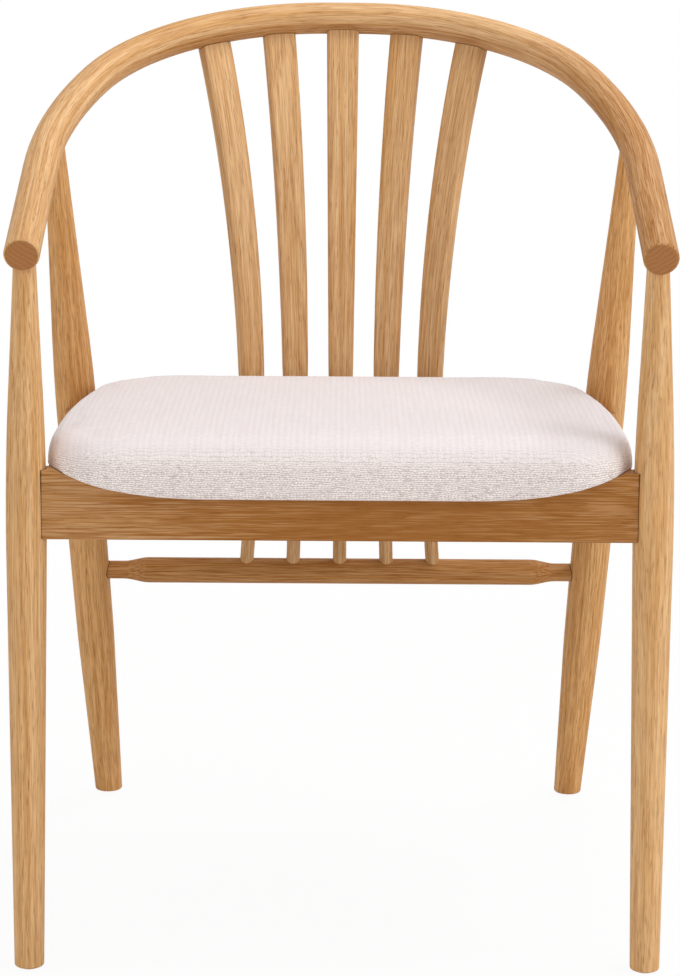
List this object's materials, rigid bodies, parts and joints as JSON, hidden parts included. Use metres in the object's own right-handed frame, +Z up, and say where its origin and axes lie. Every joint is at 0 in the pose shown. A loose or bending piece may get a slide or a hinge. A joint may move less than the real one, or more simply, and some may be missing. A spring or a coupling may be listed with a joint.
{
  "type": "dining armchair",
  "caption": "Oak dining armchair: a bent bow makes arms and back rail over tapered round legs, with a fan of curved slats and an upholstered seat pad.",
  "frame": {"origin": "on the floor, at the middle of the box round the chair", "axes": "+X to the right as the chair is seen from the front, +Y towards the back, +Z up"},
  "size_m": [0.5704, 0.5666, 0.8284],
  "materials": {
    "oak": "satin oil",
    "beech": "bare",
    "plywood": "bare",
    "foam": "soft foam",
    "cover_cloth": "coarse weave",
    "dust_cloth": "non-woven cloth",
    "steel": "zinc plated",
    "glide_plastic": "matte"
  },
  "bodies": {
    "root": {"bow": "oak", "front_leg_right": "oak", "front_leg_left": "oak", "rear_leg_right": "oak", "rear_leg_left": "oak", "front_rail": "oak", "rear_rail": "oak", "side_rail_right": "oak", "side_rail_left": "oak", "rear_stretcher": "oak", "back_slat_1": "oak", "back_slat_2": "oak", "back_slat_3": "oak", "back_slat_4": "oak", "back_slat_5": "oak", "corner_block_right": "beech", "corner_block_left": "beech", "seat_block_right": "beech", "seat_block_left": "beech", "rail_dowels": "beech", "seat_board": "plywood", "seat_foam": "foam", "seat_cover": "cover_cloth", "seat_dust_cover": "dust_cloth", "block_screws": "steel", "seat_screws": "steel", "foot_glides": "glide_plastic"}
  },
  "joints": []
}
